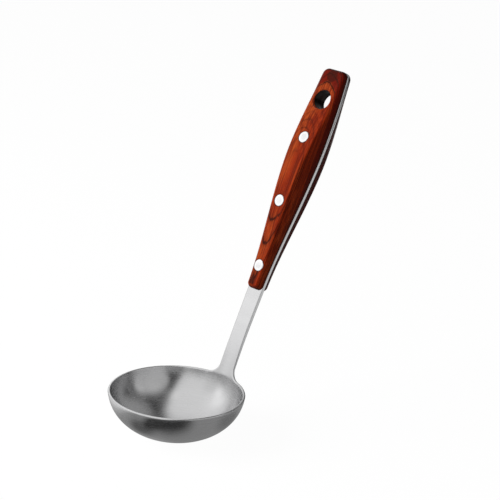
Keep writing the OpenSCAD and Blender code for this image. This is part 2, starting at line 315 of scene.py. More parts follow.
class LadleShape:
    """The ladle's surfaces, worked out from its sizes."""

    def __init__(self):
        self.steel, self.wood, self.rivets, _ = settings()
        self.rim_r = (STEEL_HIGH.y - STEEL_LOW.y)/2
        self.wall_mid_r = self.rim_r - self.steel.bowl_wall/2
        self.bowl_x = STEEL_LOW.x + self.rim_r
        self.root_len = self.steel.root_bend_r*(self.steel.root_lean - self.steel.rim_flare)
        self.bend_len = self.steel.neck_bend_r*(self.steel.handle_lean - self.steel.root_lean)
        self.curved_len = self.root_len + self.bend_len
        self.neck_len = self.curved_len + self.steel.neck_straight
        self.seat = self.steel.tang_t/2
        self.side_turn = math.pi/2 - self.wood.side_slope
        self.hole_at = self.wood.length - self.wood.hole_from_top
        self.rivet_at = [self.rivets.first_at + i*self.rivets.pitch for i in range(len(RIVET_NAMES))]
        low = self.stem_path(self.neck_len)
        origin = Vector((low[0] + self.bowl_x, 0.0, low[1] + self.steel.bowl_depth))
        turn = self.steel.handle_lean - math.pi/2
        self.handle_turn = (0.0, turn, 0.0)
        self.handle_origin = origin
        self.handle_matrix = Matrix.Translation(origin) @ Matrix.Rotation(turn, 4, "Y")

    def stem_lean(self, l):
        """Lean of the neck at the distance l from the rim."""
        if l < self.root_len:
            return mix(self.steel.rim_flare, self.steel.root_lean, l/self.root_len)
        share = min((l - self.root_len)/self.bend_len, 1.0)
        return mix(self.steel.root_lean, self.steel.handle_lean, share)

    def stem_path(self, l):
        """Place of the neck's middle at the distance l from the rim, over the bowl's axis and rim."""
        steel = self.steel
        a = self.stem_lean(min(l, self.root_len))
        b = max(self.stem_lean(l), steel.root_lean)
        bend_r = steel.neck_bend_r
        straight = max(l - self.curved_len, 0.0)
        x = self.wall_mid_r + steel.root_bend_r*(math.cos(steel.rim_flare) - math.cos(a))
        x += bend_r*(math.cos(steel.root_lean) - math.cos(b)) + straight*math.sin(steel.handle_lean)
        z = steel.root_bend_r*(math.sin(a) - math.sin(steel.rim_flare))
        z += bend_r*(math.sin(b) - math.sin(steel.root_lean)) + straight*math.cos(steel.handle_lean)
        return x, z

    def stem_half_w(self, l):
        """Half the width of the neck or the tang at the distance l from the rim."""
        steel = self.steel
        if l >= self.neck_len:
            return float(self.handle_half_w(l - self.neck_len))
        share = np.clip((l - steel.neck_fillet_r)/(self.neck_len - steel.neck_fillet_r), 0.0, 1.0)
        return float(mix(steel.neck_root_w, steel.neck_top_w, share)/2 + round_in(l, steel.neck_fillet_r))

    def handle_half_w(self, x):
        """Half the width of the handle at the distance x from the lower end of the wood."""
        wood = self.wood
        rising = mix(self.steel.neck_top_w, wood.grip_w, ease(x/wood.grip_w_at))
        share = (x - wood.grip_w_at)/(wood.length - wood.grip_w_at)
        falling = mix(wood.grip_w, wood.top_w, share*share)
        full = np.where(x < wood.grip_w_at, rising, falling)
        return full/2 - round_in(wood.length - x, wood.top_corner_r)

    def handle_half_t(self, x):
        """Half the thickness of the handle at the distance x from the lower end of the wood."""
        wood = self.wood
        rising = mix(wood.low_t, wood.grip_t, ease(x/wood.grip_t_at))
        falling = mix(wood.grip_t, wood.top_t, ease((x - wood.grip_t_at)/(wood.length - wood.grip_t_at)))
        return np.where(x < wood.grip_t_at, rising, falling)/2

    def wood_stops(self):
        """Distances from the lower end at which the handle is drawn, closer together at its round ends."""
        wood = self.wood
        low = max(wood.low_end_r, wood.low_corner_r)
        top = max(wood.top_end_r, wood.top_corner_r)
        turn = 1 - np.cos(np.linspace(0, math.pi/2, CORNER_ROWS))
        middle = np.linspace(low, wood.length - top, WOOD_ROWS)
        return np.concatenate([low*turn[:-1], middle, wood.length - top*turn[-2::-1]])

    def scale_edge(self, x):
        """Half width, crown height, half width of the flat and edge radius of a scale at x."""
        wood = self.wood
        half_w = float(self.handle_half_w(x) - round_in(x, wood.low_corner_r))
        ends = round_in(x, wood.low_end_r) + round_in(wood.length - x, wood.top_end_r)
        top = float(self.handle_half_t(x) - ends)
        share = ease((x - wood.grip_w_at)/(wood.length - wood.grip_w_at))
        radius = min(float(mix(wood.edge_r, wood.top_edge_r, share)), top - self.seat)
        flat = half_w - (top - self.seat)*math.tan(wood.side_slope) - radius*math.tan(self.side_turn/2)
        return half_w, top, flat, radius

    def surface_height(self, x, y):
        """Height of a scale's outside over the middle of the tang."""
        _, top, flat, radius = self.scale_edge(x)
        over = abs(y) - flat
        if over <= 0:
            return top
        turn = self.side_turn
        if over < radius*math.sin(turn):
            return top - radius + math.sqrt(radius*radius - over*over)
        below = over - radius*math.sin(turn)
        return top - radius*(1 - math.cos(turn)) - below*math.tan(turn)

    def rivet_seat(self, x):
        """Height of a rivet head's seat over the middle of the tang."""
        return float(self.handle_half_t(x)) - self.rivets.head_h

    def on_handle(self, points):
        """Points of the handle's own frame, in the shared frame."""
        return [self.handle_matrix @ Vector(p) for p in points]


# Mesh helpers

def new_object(name, points, faces, material=None):
    """A smooth mesh object of these points and faces, in the shared frame."""
    mesh = bpy.data.meshes.new(name)
    mesh.from_pydata([tuple(p) for p in points], [], faces)
    mesh.update()
    mesh.shade_smooth()
    piece = bpy.data.objects.new(name, mesh)
    bpy.context.scene.collection.objects.link(piece)
    if material:
        mesh.materials.append(material)
    return piece


def finish_piece(piece, slot, *nodes):
    """Sharpens the hard edges of a piece and puts it in place of its nodes."""
    piece.data.set_sharp_from_angle(angle=SHARP_ANGLE)
    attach(piece, BODY)
    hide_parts(*nodes)


def strip(first, second, closed=False):
    """Quads between two rows of point numbers."""
    count = len(first)
    last = count if closed else count - 1
    return [(first[i], first[(i + 1) % count], second[(i + 1) % count], second[i]) for i in range(last)]


def lathe(profile, at):
    """Points and faces of a closed turned body: profile is (radius, height), from axis to axis."""
    # Half a step off the handle's middle line, where the pieces to be cut have points of their own
    turns = [2*math.pi*(i + 0.5)/ROUND_SEGMENTS for i in range(ROUND_SEGMENTS)]
    points = []
    rings = []
    for radius, height in profile:
        if radius == 0:
            rings.append([len(points)])
            points.append((at, 0.0, height))
            continue
        rings.append(list(range(len(points), len(points) + ROUND_SEGMENTS)))
        points += [(at + radius*math.cos(a), radius*math.sin(a), height) for a in turns]
    faces = []
    for low, high in zip(rings, rings[1:]):
        if len(low) == 1:
            faces += [(low[0], high[(i + 1) % ROUND_SEGMENTS], high[i]) for i in range(ROUND_SEGMENTS)]
        elif len(high) == 1:
            faces += [(low[i], low[(i + 1) % ROUND_SEGMENTS], high[0]) for i in range(ROUND_SEGMENTS)]
        else:
            faces += strip(low, high, closed=True)
    return points, faces


def drill(radius, reach, at):
    """Points and faces of a straight round body through the handle."""
    return lathe([(0, -reach), (radius, -reach), (radius, reach), (0, reach)], at)


def cut(piece, shape, bodies):
    """Takes turned bodies of the handle's frame out of a piece."""
    before = len(piece.data.polygons)
    points = []
    faces = []
    for body_points, body_faces in bodies:
        faces += [tuple(i + len(points) for i in face) for face in body_faces]
        points += body_points
    cutter = new_object(piece.name + "_cutter", shape.on_handle(points), faces)
    modifier = piece.modifiers.new("holes", "BOOLEAN")
    modifier.operation = "DIFFERENCE"
    modifier.solver = "EXACT"
    modifier.object = cutter
    bpy.context.view_layer.objects.active = piece
    with bpy.context.temp_override(object=piece, active_object=piece, selected_objects=[piece]):
        bpy.ops.object.modifier_apply(modifier=modifier.name)
    bpy.data.objects.remove(cutter)
    if len(piece.data.polygons) <= before:
        raise RuntimeError(f"no holes were cut in {piece.name}")


# Materials

def new_material(name):
    """A node material with one Principled shader, which is returned with its tree."""
    material = bpy.data.materials.new(name)
    material.use_nodes = True
    tree = material.node_tree
    return material, tree, tree.nodes["Principled BSDF"]


def connect(tree, node, inputs):
    """Fills inputs of a node, each with a value or with a socket to link from."""
    for key, value in inputs.items():
        if isinstance(value, bpy.types.NodeSocket):
            tree.links.new(value, node.inputs[key])
        else:
            node.inputs[key].default_value = value


def add_node(tree, kind, inputs=None, **values):
    """A new node with its settings and its inputs."""
    node = tree.nodes.new(kind)
    for name, value in values.items():
        setattr(node, name, value)
    connect(tree, node, inputs or {})
    return node


def math_node(tree, operation, a, b=0.0, clamp=False):
    """The output of one sum."""
    return add_node(tree, "ShaderNodeMath", {0: a, 1: b}, operation=operation, use_clamp=clamp).outputs[0]


def vector_math(tree, operation, a, b=(0.0, 0.0, 0.0)):
    """The output of one sum of vectors."""
    outputs = add_node(tree, "ShaderNodeVectorMath", {0: a, 1: b}, operation=operation).outputs
    return outputs["Value" if operation in NUMBER_SUMS else "Vector"]


def remap(tree, value, low, high, new_low, new_high, smooth=False):
    """The output of a map range."""
    inputs = {"Value": value, "From Min": low, "From Max": high, "To Min": new_low, "To Max": new_high}
    kind = "SMOOTHSTEP" if smooth else "LINEAR"
    return add_node(tree, "ShaderNodeMapRange", inputs, interpolation_type=kind).outputs["Result"]


def noise(tree, vector, stretch, detail=3.0, roughness=0.5):
    """Noise over a stretched vector, about 0 to 1."""
    inputs = {"Vector": vector, "Scale": stretch}
    scaled = add_node(tree, "ShaderNodeMapping", inputs, vector_type="POINT").outputs[0]
    inputs = {"Vector": scaled, "Scale": 1.0, "Detail": detail, "Roughness": roughness}
    return add_node(tree, "ShaderNodeTexNoise", inputs, noise_dimensions="3D").outputs["Fac"]


def blend_colour(tree, share, a, b):
    """The output of a colour mix; a colour is a socket or three numbers."""
    first, second = (c if isinstance(c, bpy.types.NodeSocket) else (*c, 1.0) for c in (a, b))
    inputs = {MIX_SHARE: share, MIX_A: first, MIX_B: second}
    return add_node(tree, "ShaderNodeMix", inputs, data_type="RGBA", clamp_factor=True).outputs[MIX_RESULT]


def bump(tree, height, strength, depth):
    """The output of a bump node."""
    inputs = {"Height": height, "Strength": strength, "Distance": depth}
    return add_node(tree, "ShaderNodeBump", inputs).outputs[0]


def tinted(rgb, share):
    """A colour made lighter or darker."""
    return [min(c*share, 1.0) for c in rgb]


def brushed_steel_material(rgb, shape):
    """Satin steel with fine scratches that follow the brush map, and painted shade that darkens it inside
    the hang hole.
    """
    material, tree, shader = new_material("brushed_steel")
    brush = add_node(tree, "ShaderNodeUVMap", uv_map="brush").outputs[0]
    scratches = noise(tree, brush, SCRATCHES, detail=4.0, roughness=0.65)
    cloud = noise(tree, brush, STEEL_CLOUD, detail=2.0)
    worn = remap(tree, scratches, *NOISE_BAND, 0.0, 1.0)
    tone = blend_colour(tree, worn, tinted(rgb, 0.93), tinted(rgb, 1.06))
    # Painted shade: the steel is darkened to the hang hole's colour inside the hole
    dark = hole_shade_mask(tree, handle_vector(tree, shape), shape)
    satin = remap(tree, scratches, *NOISE_BAND, 0.20, 0.29)
    uneven = remap(tree, cloud, *NOISE_BAND, -0.02, 0.03)
    tangent = add_node(tree, "ShaderNodeTangent", direction_type="UV_MAP", uv_map="brush")
    connect(tree, shader, {
        "Base Color": blend_colour(tree, dark, tone, shape.wood.hole_shade_colour),
        "Roughness": math_node(tree, "ADD", satin, uneven),
        "Metallic": 1.0,
        "Anisotropic": 0.80,
        "Anisotropic Rotation": 0.25,
        "Tangent": tangent.outputs[0],
        "Normal": bump(tree, scratches, 0.10, 0.0001),
    })
    return material


def polished_rivet_material(rgb, shape):
    """Polished steel with turning marks round each rivet's axis and a duller middle."""
    material, tree, shader = new_material("polished_rivet")
    vector = handle_vector(tree, shape)
    gap = rivet_gap(tree, vector, shape)
    ring = add_node(tree, "ShaderNodeCombineXYZ", {0: gap}).outputs[0]
    marks = noise(tree, ring, TURNING_MARKS, detail=3.0, roughness=0.6)
    cloud = noise(tree, vector, RIVET_CLOUD, detail=3.0)
    dull_from, dull_to = (shape.rivets.head_d*share/MM for share in DULL_MIDDLE)
    middle = remap(tree, gap, dull_from, dull_to, 1.0, 0.0, smooth=True)
    tone = blend_colour(tree, middle, rgb, tinted(rgb, 0.86))
    marked = remap(tree, marks, *NARROW_BAND, 0.0, 0.10)
    connect(tree, shader, {
        "Base Color": blend_colour(tree, marked, tone, tinted(rgb, 0.6)),
        "Roughness": remap(tree, cloud, *NOISE_BAND, 0.20, 0.30),
        "Metallic": 1.0,
        "Normal": bump(tree, marks, 0.08, 0.0001),
    })
    return material


def handle_vector(tree, shape):
    """Millimetres up, across and out of the handle."""
    place = add_node(tree, "ShaderNodeTexCoord").outputs["Object"]
    inputs = {"Vector": place, "Location": shape.handle_origin, "Rotation": shape.handle_turn,
              "Scale": (MM, MM, MM)}
    return add_node(tree, "ShaderNodeMapping", inputs, vector_type="TEXTURE").outputs[0]


def hole_shade_mask(tree, vector, shape):
    """Painted shade: 1 on the wall of the hang hole, fading to 0 over its edge; vector is in the handle's
    frame.
    """
    hole_r = shape.wood.hole_d/2/MM
    from_axis = vector_math(tree, "SUBTRACT", vector, (shape.hole_at/MM, 0.0, 0.0))
    flat = vector_math(tree, "MULTIPLY", from_axis, (1.0, 1.0, 0.0))
    start, end = HOLE_SHADE_FADE
    gap = vector_math(tree, "LENGTH", flat)
    return remap(tree, gap, hole_r + start, hole_r + end, 1.0, 0.0, smooth=True)


def rivet_gap(tree, vector, shape):
    """Millimetres from the nearest rivet's axis; vector is in the handle's frame."""
    rivets = shape.rivets
    split = add_node(tree, "ShaderNodeSeparateXYZ", {0: vector}).outputs
    start = (rivets.first_at - rivets.pitch/2)/MM
    along = math_node(tree, "SUBTRACT", split[0], start)
    along = math_node(tree, "FLOORED_MODULO", along, rivets.pitch/MM)
    along = math_node(tree, "SUBTRACT", along, rivets.pitch/2/MM)
    flat = add_node(tree, "ShaderNodeCombineXYZ", {0: along, 1: split[1]}).outputs[0]
    return vector_math(tree, "LENGTH", flat)


def end_and_seam_shade_mask(tree, vector, shape):
    """How dark the wood is painted at its ends, partly as end grain and partly as painted shade under the
    rounded ends, and beside the tang, as painted shade along the seam; vector is in the handle's frame.
    """
    split = add_node(tree, "ShaderNodeSeparateXYZ", {0: vector}).outputs
    from_top = math_node(tree, "SUBTRACT", shape.wood.length/MM, split[0])
    from_end = math_node(tree, "MINIMUM", split[0], from_top)
    # Partly end grain, partly painted shade under the rounded ends
    end_grain_and_shade = remap(tree, from_end, *END_GRAIN_SHADE_FADE, 0.85, 0.0, smooth=True)
    # Painted shade along the seam beside the tang
    from_tang = math_node(tree, "SUBTRACT", math_node(tree, "ABSOLUTE", split[2]), shape.seat/MM)
    seam_shade = remap(tree, from_tang, *SEAM_SHADE_FADE, 0.70, 0.0, smooth=True)
    return math_node(tree, "MAXIMUM", end_grain_and_shade, seam_shade)


def growth_height(tree, vector, wood):
    """Height over the tang of a point's growth layer in the handle's middle, less the first line's."""
    split = add_node(tree, "ShaderNodeSeparateXYZ", {0: vector}).outputs
    beside = math_node(tree, "SUBTRACT", split[1], wood.pith_side/MM)
    below = math_node(tree, "SUBTRACT", wood.pith_height/MM, split[2])
    flat = add_node(tree, "ShaderNodeCombineXYZ", {1: beside, 2: below}).outputs[0]
    ring = vector_math(tree, "LENGTH", flat)
    tilted = math_node(tree, "MULTIPLY", split[0], wood.pith_tilt)
    dive_from = (wood.length - wood.hole_from_top - wood.hole_d)/MM
    above = math_node(tree, "MAXIMUM", math_node(tree, "SUBTRACT", split[0], dive_from), 0.0)
    dived = math_node(tree, "MULTIPLY", math_node(tree, "MULTIPLY", above, above), wood.pith_dive)
    sunk = math_node(tree, "ADD", tilted, dived)
    start = (wood.pith_height - wood.ring_start + wood.pith_tilt*wood.grip_t_at)/MM
    height = math_node(tree, "SUBTRACT", math_node(tree, "SUBTRACT", start, ring), sunk)
    sway = remap(tree, noise(tree, vector, SWAY, detail=2.0), *WIDE_BAND, -SWAY_HEIGHT, SWAY_HEIGHT)
    wobble = remap(tree, noise(tree, vector, WOBBLE, detail=2.0), *WIDE_BAND, -WOBBLE_HEIGHT, WOBBLE_HEIGHT)
    return math_node(tree, "ADD", math_node(tree, "ADD", height, sway), wobble)


def growth_line_mask(tree, vector, height, wood):
    """How dark the growth lines are: bold in the lower handle's upper layers and in the lowest layers."""
    turns = math_node(tree, "DIVIDE", height, wood.ring_pitch/MM)
    share = math_node(tree, "FRACT", math_node(tree, "ADD", turns, 0.5))
    off_line = math_node(tree, "ABSOLUTE", math_node(tree, "SUBTRACT", share, 0.5))
    core = remap(tree, off_line, *LINE_CORE, 1.0, 0.0, smooth=True)
    shade = remap(tree, off_line, *LINE_SHADE, 0.35, 0.0, smooth=True)
    from_below = remap(tree, height, *BOLD_FROM, 0.0, 1.0, smooth=True)
    from_above = remap(tree, height, *BOLD_TO, 1.0, 0.0, smooth=True)
    along = add_node(tree, "ShaderNodeSeparateXYZ", {0: vector}).outputs[0]
    lower_half = remap(tree, along, wood.grip_t_at/MM, wood.grip_w_at/MM, 1.0, 0.35, smooth=True)
    upper = math_node(tree, "MULTIPLY", math_node(tree, "MINIMUM", from_below, from_above), lower_half)
    lowest = remap(tree, height, *LOWEST_BOLD, 1.0, 0.0, smooth=True)
    bold = remap(tree, math_node(tree, "MAXIMUM", upper, lowest), 0.0, 1.0, 0.30, 1.0)
    fading = remap(tree, noise(tree, vector, LINE_FADING, detail=2.0), 0.30, 0.48, 0.65, 1.0)
    force = math_node(tree, "MULTIPLY", bold, fading)
    return math_node(tree, "MULTIPLY", math_node(tree, "MAXIMUM", core, shade), force)


def wood_ground(tree, vector, height, wood):
    """The wood's colour between its lines: light patches above, more of them towards the key light's side
    as painted light, old and deep wood towards the tang.
    """
    across = add_node(tree, "ShaderNodeSeparateXYZ", {0: vector}).outputs[1]
    # Painted light: lighter towards the side the key light falls on, partly the wood's own tone
    key_side_light = math_node(tree, "MULTIPLY", across, KEY_SIDE_LIGHTER)
    patchy = math_node(tree, "ADD", noise(tree, vector, LIGHT_PATCHES, detail=3.0), key_side_light)
    patch = remap(tree, patchy, *NARROW_BAND, 0.0, 1.0, smooth=True)
    young = blend_colour(tree, patch, wood.warm_colour, wood.light_colour)
    old = blend_colour(tree, remap(tree, height, *DEEP_WOOD, 0.0, 1.0), wood.deep_colour, wood.old_colour)
    ground = blend_colour(tree, remap(tree, height, *OLD_WOOD, 0.0, 1.0, smooth=True), old, young)
    streaks = noise(tree, vector, STREAKS, detail=3.0)
    streaked = remap(tree, streaks, 0.40, 0.64, 0.0, 0.70, smooth=True)
    return blend_colour(tree, streaked, ground, wood.deep_colour)


def hardwood_material(wood, shape):
    """Lacquered red-brown hardwood: growth lines round a pith in front of the handle, streaks and pores,
    with painted shade round the rivet heads, beside the tang and on the hang hole's wall, and ends darkened
    partly as end grain and partly as painted shade.
    """
    material, tree, shader = new_material("lacquered_hardwood")
    vector = handle_vector(tree, shape)
    height = growth_height(tree, vector, wood)
    fibre = noise(tree, vector, FIBRES, detail=4.0, roughness=0.6)
    pores = remap(tree, noise(tree, vector, PORES, detail=2.0), 0.60, 0.70, 0.0, 0.50, smooth=True)
    head_r = shape.rivets.head_d/2/MM
    gap = rivet_gap(tree, vector, shape)
    tone = wood_ground(tree, vector, height, wood)
    layers = (
        (remap(tree, fibre, *NARROW_BAND, 0.35, 0.0), wood.deep_colour),
        (growth_line_mask(tree, vector, height, wood), wood.line_colour),
        (pores, wood.line_colour),
        # Painted shade: a dark ring in the wood round each rivet head
        (remap(tree, gap, head_r, head_r + RIVET_SHADE_W, 0.75, 0.0, smooth=True), wood.line_colour),
        # Ends darkened partly as end grain and partly as painted shade, and painted shade along the tang
        (end_and_seam_shade_mask(tree, vector, shape), wood.line_colour),
        # Painted shade on the hang hole's wall
        (hole_shade_mask(tree, vector, shape), wood.hole_shade_colour),
    )
    for share, over in layers:
        tone = blend_colour(tree, share, tone, over)
    connect(tree, shader, {
        "Base Color": tone,
        "Roughness": remap(tree, fibre, *NOISE_BAND, 0.30, 0.42),
        "Specular IOR Level": 0.09,
        "Specular Tint": (1.0, 0.65, 0.50, 1.0),
        "Coat Weight": 0.03,
        "Coat Roughness": 0.22,
        "Normal": bump(tree, math_node(tree, "SUBTRACT", fibre, pores), 0.12, 0.0002),
    })
    return material


# Pieces

class LADLE_OT_steel(Operator):
    """Makes the bowl, the neck and the full tang as one sheet of brushed steel."""

    bl_idname = "ladle.steel"
    bl_label = "Steel bowl and tang"

    def execute(self, context):
        steel, wood, rivets, _ = settings()
        shape = LadleShape()
        sheet = SteelSheet(shape)
        material = brushed_steel_material(steel.colour, shape)
        piece = new_object("steel_bowl_and_tang", sheet.placed_points(), sheet.faces(), material)
        paint_brush_map(piece, shape, sheet.brush)
        reach = wood.grip_t
        hole_r = rivets.sleeve_d/2 + rivets.clearance
        bodies = [drill(hole_r, reach, x) for x in shape.rivet_at]
        bodies.append(drill(wood.hole_d/2, reach, shape.hole_at))
        cut(piece, shape, bodies)
        finish_piece(piece, "steel", "bowl_and_tang")
        return {"FINISHED"}


class SteelSheet:
    """The bowl, the neck and the tang: points over the rim's middle, faces and brush coordinates."""

    def __init__(self, shape):
        steel = shape.steel
        self.shape = shape
        self.points = []
        self.brush = []
        self.columns = 2*FLARE_HALF_COLUMNS + 1
        self.ring = self.rim_turns()
        fillet = steel.neck_fillet_r*(1 - np.cos(np.linspace(0, math.pi/2, FILLET_ROWS + 1)))
        curve = np.linspace(steel.neck_fillet_r, shape.curved_len, NECK_ROWS + 1)[1:]
        self.stops = np.concatenate([fillet, curve, shape.neck_len + shape.wood_stops()])
        inside_r = shape.rim_r - steel.bowl_wall
        self.outer, self.outer_pole = self.bowl_side(shape.rim_r, steel.bowl_depth)
        self.inner, self.inner_pole = self.bowl_side(inside_r, steel.bowl_depth - steel.bowl_wall)
        self.back = [self.outer[0][:self.columns]] + [self.stem_row(l, 1) for l in self.stops[1:]]
        self.front = [self.inner[0][:self.columns]] + [self.stem_row(l, -1) for l in self.stops[1:]]
        self.edge = self.free_edge()

    def add(self, point, along):
        """Keeps a point and its brush coordinate, and returns its number."""
        self.points.append(point)
        self.brush.append(along)
        return len(self.points) - 1

    def rim_turns(self):
        """Turns of the rim's columns, closer together under the neck's flare."""
        steel = self.shape.steel
        wall_r = self.shape.wall_mid_r
        half = FLARE_HALF_COLUMNS
        flare_w = steel.neck_root_w/2 + steel.neck_fillet_r
        flare_turn = math.asin(flare_w/wall_r)
        under_neck = [math.asin(flare_w*j/half/wall_r) for j in range(-half, half + 1)]
        rest = [flare_turn + k*(2*math.pi - 2*flare_turn)/RIM_COLUMNS for k in range(1, RIM_COLUMNS)]
        return np.array(under_neck + rest)

    def bowl_side(self, radius, depth):
        """Rows of the bowl's outside or inside from the rim down, and the point at its bottom."""
        steel = self.shape.steel
        power = 2/steel.bowl_fullness
        rows = []
        walked = 0.0
        before = (radius, 0.0)
        for dip in np.linspace(0, math.pi/2, BOWL_ROWS + 1)[:-1]:
            down = depth*math.sin(dip)**power
            out = (radius - down*math.tan(steel.rim_flare))*math.cos(dip)**power
            walked += math.hypot(out - before[0], down - before[1])
            before = (out, down)
            rows.append([self.add((out*math.cos(a), out*math.sin(a), -down), -walked) for a in self.ring])
        pole = self.add((0.0, 0.0, -depth), -walked - before[0])
        return rows, pole

    def flatness(self, l):
        """How far the sheet has turned from the bowl's round wall into the flat neck at l."""
        return float(ease(l/self.shape.curved_len))

    def stem_row(self, l, side):
        """A row across the back or the front of the neck and the tang at the distance l from the rim."""
        steel = self.shape.steel
        wall_r = self.shape.wall_mid_r
        half = FLARE_HALF_COLUMNS
        flat = self.flatness(l)
        lean = self.shape.stem_lean(l)
        x, z = self.shape.stem_path(l)
        face_w = self.shape.stem_half_w(l) - steel.edge_round*flat
        out = side*mix(steel.bowl_wall, steel.tang_t, flat)/2
        level = out*math.cos(lean)
        row = []
        for j in range(self.columns):
            y = face_w*(j - half)/half
            turn = (1 - flat)*math.asin(y/wall_r)
            dip = (1 - flat)*(wall_r - math.sqrt(wall_r**2 - y*y))
            point = (x - dip + level*math.cos(turn), y + level*math.sin(turn), z - out*math.sin(lean))
            row.append(self.add(point, l))
        return row

    def edge_stop(self, outside, inside, facing, bulge, along):
        """A half round across the sheet's edge from a point outside to one inside."""
        p = np.array(self.points[outside])
        q = np.array(self.points[inside])
        turns = [math.pi*k/LIP_STEPS for k in range(1, LIP_STEPS)]
        lip = [(p + q)/2 + math.cos(t)*(p - q)/2 + math.sin(t)*bulge*np.array(facing) for t in turns]
        return [outside] + [self.add(tuple(v), along) for v in lip] + [inside]

    def stem_edge(self, row, hand):
        """The half round at one row of the neck and the tang; hand is 1 or -1 for the side."""
        steel = self.shape.steel
        l = self.stops[row]
        turn = math.pi/2*min(row/FILLET_ROWS, 1.0)
        lean = self.shape.stem_lean(l)
        facing = (math.cos(turn)*math.sin(lean), hand*math.sin(turn), math.cos(turn)*math.cos(lean))
        bulge = mix(steel.bowl_wall/2, steel.edge_round, self.flatness(l))
        column = self.columns - 1 if hand > 0 else 0
        return self.edge_stop(self.back[row][column], self.front[row][column], facing, bulge, l)

    def free_edge(self):
        """The half rounds down one side of the tang, round the rim and up the other side."""
        rows = range(len(self.stops))
        lip_r = self.shape.steel.bowl_wall/2
        edge = [self.stem_edge(row, 1) for row in reversed(rows)]
        for column in range(self.columns, len(self.ring)):
            edge.append(self.edge_stop(self.outer[0][column], self.inner[0][column], (0, 0, 1), lip_r, 0.0))
        return edge + [self.stem_edge(row, -1) for row in rows]

    def faces(self):
        """Faces of the whole sheet, wound to be seen from outside."""
        faces = []
        for high, low in zip(self.outer, self.outer[1:]):
            faces += strip(low, high, closed=True)
        for high, low in zip(self.inner, self.inner[1:]):
            faces += strip(high, low, closed=True)
        outer = self.outer[-1]
        inner = self.inner[-1]
        count = len(self.ring)
        faces += [(outer[(i + 1) % count], outer[i], self.outer_pole) for i in range(count)]
        faces += [(inner[i], inner[(i + 1) % count], self.inner_pole) for i in range(count)]
        for low, high in zip(self.back, self.back[1:]):
            faces += strip(low, high)
        for low, high in zip(self.front, self.front[1:]):
            faces += strip(high, low)
        for one, two in zip(self.edge, self.edge[1:]):
            faces += strip(two, one)
        top = self.front[-1] + self.edge[0][-2:0:-1] + self.back[-1][::-1] + self.edge[-1][1:-1]
        return faces + [tuple(top[::-1])]

    def placed_points(self):
        """The points in the shared frame."""
        place = np.array((self.shape.bowl_x, 0.0, self.shape.steel.bowl_depth))
        return [tuple(np.array(p) + place) for p in self.points]


def paint_brush_map(piece, shape, brush):
    """Maps the steel so that the first coordinate, in millimetres, runs along the brush marks."""
    mesh = piece.data
    layer = mesh.uv_layers.new(name="brush")
    radius = shape.rim_r/MM
    to_handle = shape.handle_matrix.inverted()
    for polygon in mesh.polygons:
        spots = [mesh.loops[loop].vertex_index for loop in polygon.loop_indices]
        along = [brush[spot]/MM for spot in spots]
        places = [mesh.vertices[spot].co for spot in spots]
        if min(along) > shape.steel.neck_fillet_r/MM and abs(polygon.normal.y) > NARROW_EDGE_FACING:
            marks = [(a, (to_handle @ place).z/MM) for a, place in zip(along, places)]
        else:
            turns = [math.atan2(place.y, place.x - shape.bowl_x) for place in places]
            if max(turns) - min(turns) > math.pi:
                turns = [t + 2*math.pi if t < 0 else t for t in turns]
            marks = [(turn*radius, a) for turn, a in zip(turns, along)]
        for loop, mark in zip(polygon.loop_indices, marks):
            layer.data[loop].uv = mark


class LADLE_OT_scales(Operator):
    """Makes the front and the rear scale of lacquered hardwood."""

    bl_idname = "ladle.scales"
    bl_label = "Wooden scales"

    def execute(self, context):
        _, wood, _, _ = settings()
        shape = LadleShape()
        material = hardwood_material(wood, shape)
        for name, side in (("front_scale", 1), ("rear_scale", -1)):
            points, faces = scale_body(shape, side)
            piece = new_object("wood_" + name, shape.on_handle(points), faces, material)
            cut(piece, shape, scale_holes(shape, side))
            finish_piece(piece, "wood", name)
            # Kept out of the mirror images in the steel, so that the bowl stays neutral
            piece.visible_glossy = False
        return {"FINISHED"}


def half_section(shape, x):
    """Half of a scale's section at x, as (across, height), from the tang to the middle of the crown."""
    wood = shape.wood
    half_w, top, flat, radius = shape.scale_edge(x)
    turn = shape.side_turn
    ease_r = wood.seam_round
    middle = ROUND_MIDDLE*ease_r
    foot = [(half_w - ease_r, shape.seat), (half_w - middle, shape.seat + middle)]
    shoulder = (flat + radius*math.sin(turn), top - radius + radius*math.cos(turn))
    start = (half_w - ease_r*math.tan(wood.side_slope), shape.seat + ease_r)
    side = []
    for k in range(SIDE_STEPS):
        share = k/SIDE_STEPS
        side.append((mix(start[0], shoulder[0], share**wood.side_belly), mix(start[1], shoulder[1], share)))
    turns = [turn*(1 - k/EDGE_STEPS) for k in range(EDGE_STEPS + 1)]
    edge = [(flat + radius*math.sin(t), top - radius + radius*math.cos(t)) for t in turns]
    crown = [(flat*(1 - k/FLAT_STEPS), top) for k in range(1, FLAT_STEPS + 1)]
    return foot + side + edge + crown


def scale_body(shape, side):
    """Points and faces of an undrilled scale; side is 1 for the front and -1 for the rear."""
    points = []
    rows = []
    for x in shape.wood_stops():
        half = half_section(shape, float(x))
        section = half + [(-y, z) for y, z in half[-2::-1]]
        rows.append(list(range(len(points), len(points) + len(section))))
        points += [(float(x), y, side*z) for y, z in section]
    faces = []
    for low, high in zip(rows, rows[1:]):
        faces += strip(low, high, closed=True)
    faces.append(tuple(rows[0])[::-1])
    faces.append(tuple(rows[-1]))
    return points, [face[::side] for face in faces]


